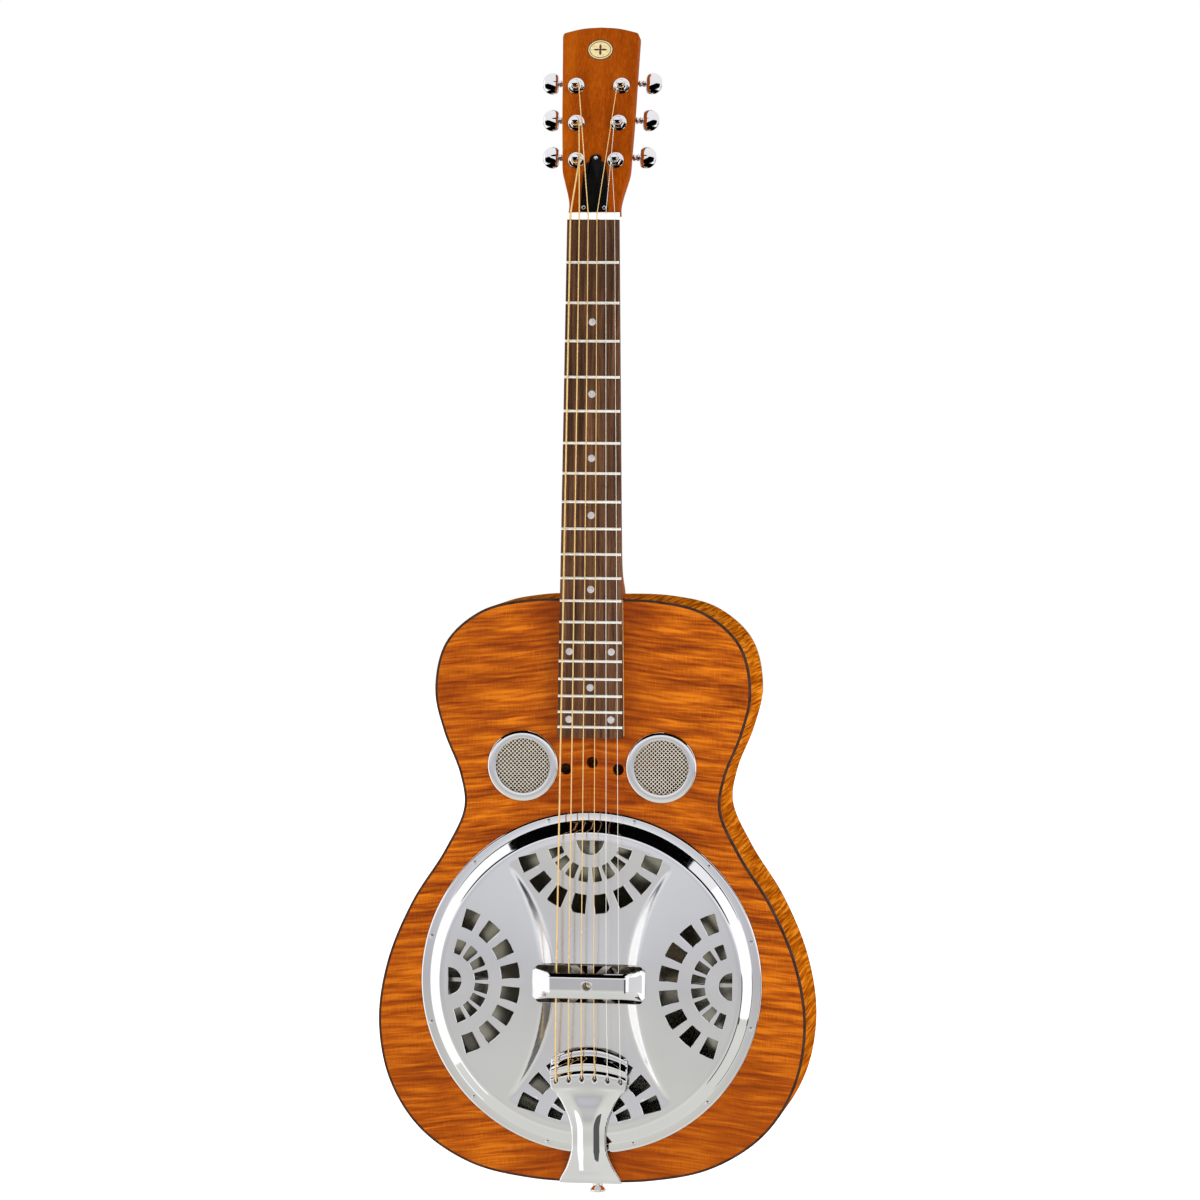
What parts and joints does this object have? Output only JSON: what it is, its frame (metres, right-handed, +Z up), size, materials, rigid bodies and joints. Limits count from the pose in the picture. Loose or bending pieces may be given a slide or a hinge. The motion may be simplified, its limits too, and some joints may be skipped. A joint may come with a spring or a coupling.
{
  "type": "resonator guitar",
  "caption": "Wood-bodied resonator guitar with a spider bridge under a chrome coverplate, screened sound holes, a round neck and geared tuners.",
  "frame": {"origin": "centre of the strap button's flat outer end, the instrument's lowest point", "axes": "+Z up the body and neck, -Y out of the front face and strings, +X towards the treble side"},
  "size_m": [0.3588, 0.1206, 0.9757],
  "materials": {
    "flamed_maple": "amber gloss over flamed figure",
    "binding": "dark, polished",
    "inner_wood": "bare",
    "mahogany": "orange-brown gloss",
    "rosewood": "oiled, open grain",
    "bone": "polished white",
    "saddle_wood": "bare maple",
    "black_plastic": "high gloss",
    "steel": "plain, bright",
    "bronze_wound": "wound phosphor bronze",
    "chrome": "mirror plate",
    "screen_wire": "woven wire",
    "spun_aluminium": "spun, fine rings",
    "cast_aluminium": "as cast"
  },
  "bodies": {
    "guitar": {"top_plate": "flamed_maple", "back_plate": "flamed_maple", "sides": "flamed_maple", "top_binding": "binding", "back_binding": "binding", "top_lining": "inner_wood", "back_lining": "inner_wood", "neck_block": "inner_wood", "tail_block": "inner_wood", "soundwell": "inner_wood", "neck": "mahogany", "fretboard": "rosewood", "fretboard_shim": "mahogany", "nut": "bone", "truss_rod_cover": "black_plastic", "truss_rod": "steel", "screen_ring_bass": "chrome", "screen_ring_treble": "chrome", "screen_mesh_bass": "screen_wire", "screen_mesh_treble": "screen_wire", "coverplate": "chrome", "palm_rest": "chrome", "resonator_cone": "spun_aluminium", "spider_bridge": "cast_aluminium", "saddle_bass": "saddle_wood", "saddle_treble": "saddle_wood", "tailpiece": "chrome", "strap_button": "chrome", "string_1": "steel", "string_2": "steel", "string_3": "bronze_wound", "string_4": "bronze_wound", "string_5": "bronze_wound", "string_6": "bronze_wound", "tuner_housing_bass_1": "chrome", "tuner_bushing_bass_1": "chrome", "tuner_housing_bass_2": "chrome", "tuner_bushing_bass_2": "chrome", "tuner_housing_bass_3": "chrome", "tuner_bushing_bass_3": "chrome", "tuner_housing_treble_1": "chrome", "tuner_bushing_treble_1": "chrome", "tuner_housing_treble_2": "chrome", "tuner_bushing_treble_2": "chrome", "tuner_housing_treble_3": "chrome", "tuner_bushing_treble_3": "chrome"},
    "button_bass_1": {"tuner_button_bass_1": "chrome"},
    "post_bass_1": {"tuner_post_bass_1": "chrome"},
    "button_bass_2": {"tuner_button_bass_2": "chrome"},
    "post_bass_2": {"tuner_post_bass_2": "chrome"},
    "button_bass_3": {"tuner_button_bass_3": "chrome"},
    "post_bass_3": {"tuner_post_bass_3": "chrome"},
    "button_treble_1": {"tuner_button_treble_1": "chrome"},
    "post_treble_1": {"tuner_post_treble_1": "chrome"},
    "button_treble_2": {"tuner_button_treble_2": "chrome"},
    "post_treble_2": {"tuner_post_treble_2": "chrome"},
    "button_treble_3": {"tuner_button_treble_3": "chrome"},
    "post_treble_3": {"tuner_post_treble_3": "chrome"},
    "truss_rod_nut": {"truss_rod_nut": "steel"},
    "tension_screw": {"tension_screw": "steel"}
  },
  "joints": [
    {"name": "button_turn_bass_1", "type": "hinge", "parent": "guitar", "child": "button_bass_1", "pos_m": [-0.0163, -0.01662, 0.86736], "axis": [1, 0, 0], "continuous": true},
    {"name": "post_turn_bass_1", "type": "hinge", "parent": "guitar", "child": "post_bass_1", "pos_m": [-0.0163, -0.03816, 0.86448], "axis": [0, -0.9703, 0.2419], "continuous": true},
    {"name": "button_turn_bass_2", "type": "hinge", "parent": "guitar", "child": "button_bass_2", "pos_m": [-0.0176, -0.00888, 0.89841], "axis": [1, 0, 0], "continuous": true},
    {"name": "post_turn_bass_2", "type": "hinge", "parent": "guitar", "child": "post_bass_2", "pos_m": [-0.0176, -0.03042, 0.89553], "axis": [0, -0.9703, 0.2419], "continuous": true},
    {"name": "button_turn_bass_3", "type": "hinge", "parent": "guitar", "child": "button_bass_3", "pos_m": [-0.019, -0.00119, 0.92926], "axis": [1, 0, 0], "continuous": true},
    {"name": "post_turn_bass_3", "type": "hinge", "parent": "guitar", "child": "post_bass_3", "pos_m": [-0.019, -0.02272, 0.92639], "axis": [0, -0.9703, 0.2419], "continuous": true},
    {"name": "button_turn_treble_1", "type": "hinge", "parent": "guitar", "child": "button_treble_1", "pos_m": [0.0163, -0.01662, 0.86736], "axis": [1, 0, 0], "continuous": true},
    {"name": "post_turn_treble_1", "type": "hinge", "parent": "guitar", "child": "post_treble_1", "pos_m": [0.0163, -0.03816, 0.86448], "axis": [0, -0.9703, 0.2419], "continuous": true},
    {"name": "button_turn_treble_2", "type": "hinge", "parent": "guitar", "child": "button_treble_2", "pos_m": [0.0176, -0.00888, 0.89841], "axis": [1, 0, 0], "continuous": true},
    {"name": "post_turn_treble_2", "type": "hinge", "parent": "guitar", "child": "post_treble_2", "pos_m": [0.0176, -0.03042, 0.89553], "axis": [0, -0.9703, 0.2419], "continuous": true},
    {"name": "button_turn_treble_3", "type": "hinge", "parent": "guitar", "child": "button_treble_3", "pos_m": [0.019, -0.00119, 0.92926], "axis": [1, 0, 0], "continuous": true},
    {"name": "post_turn_treble_3", "type": "hinge", "parent": "guitar", "child": "post_treble_3", "pos_m": [0.019, -0.02272, 0.92639], "axis": [0, -0.9703, 0.2419], "continuous": true},
    {"name": "truss_rod_nut_turn", "type": "hinge", "parent": "guitar", "child": "truss_rod_nut", "pos_m": [0, -0.04156, 0.8254], "axis": [0, 0, 1], "range_deg": [-360, 360]},
    {"name": "tension_screw_turn", "type": "hinge", "parent": "guitar", "child": "tension_screw", "pos_m": [0, -0.055, 0.1826], "axis": [0, -1, 0], "range_deg": [-360, 360]}
  ],
  "couplings": [
    {"joint": "post_turn_bass_1", "follows": "button_turn_bass_1", "ratio": 0.071429},
    {"joint": "post_turn_bass_2", "follows": "button_turn_bass_2", "ratio": 0.071429},
    {"joint": "post_turn_bass_3", "follows": "button_turn_bass_3", "ratio": 0.071429},
    {"joint": "post_turn_treble_1", "follows": "button_turn_treble_1", "ratio": 0.071429},
    {"joint": "post_turn_treble_2", "follows": "button_turn_treble_2", "ratio": 0.071429},
    {"joint": "post_turn_treble_3", "follows": "button_turn_treble_3", "ratio": 0.071429}
  ]
}
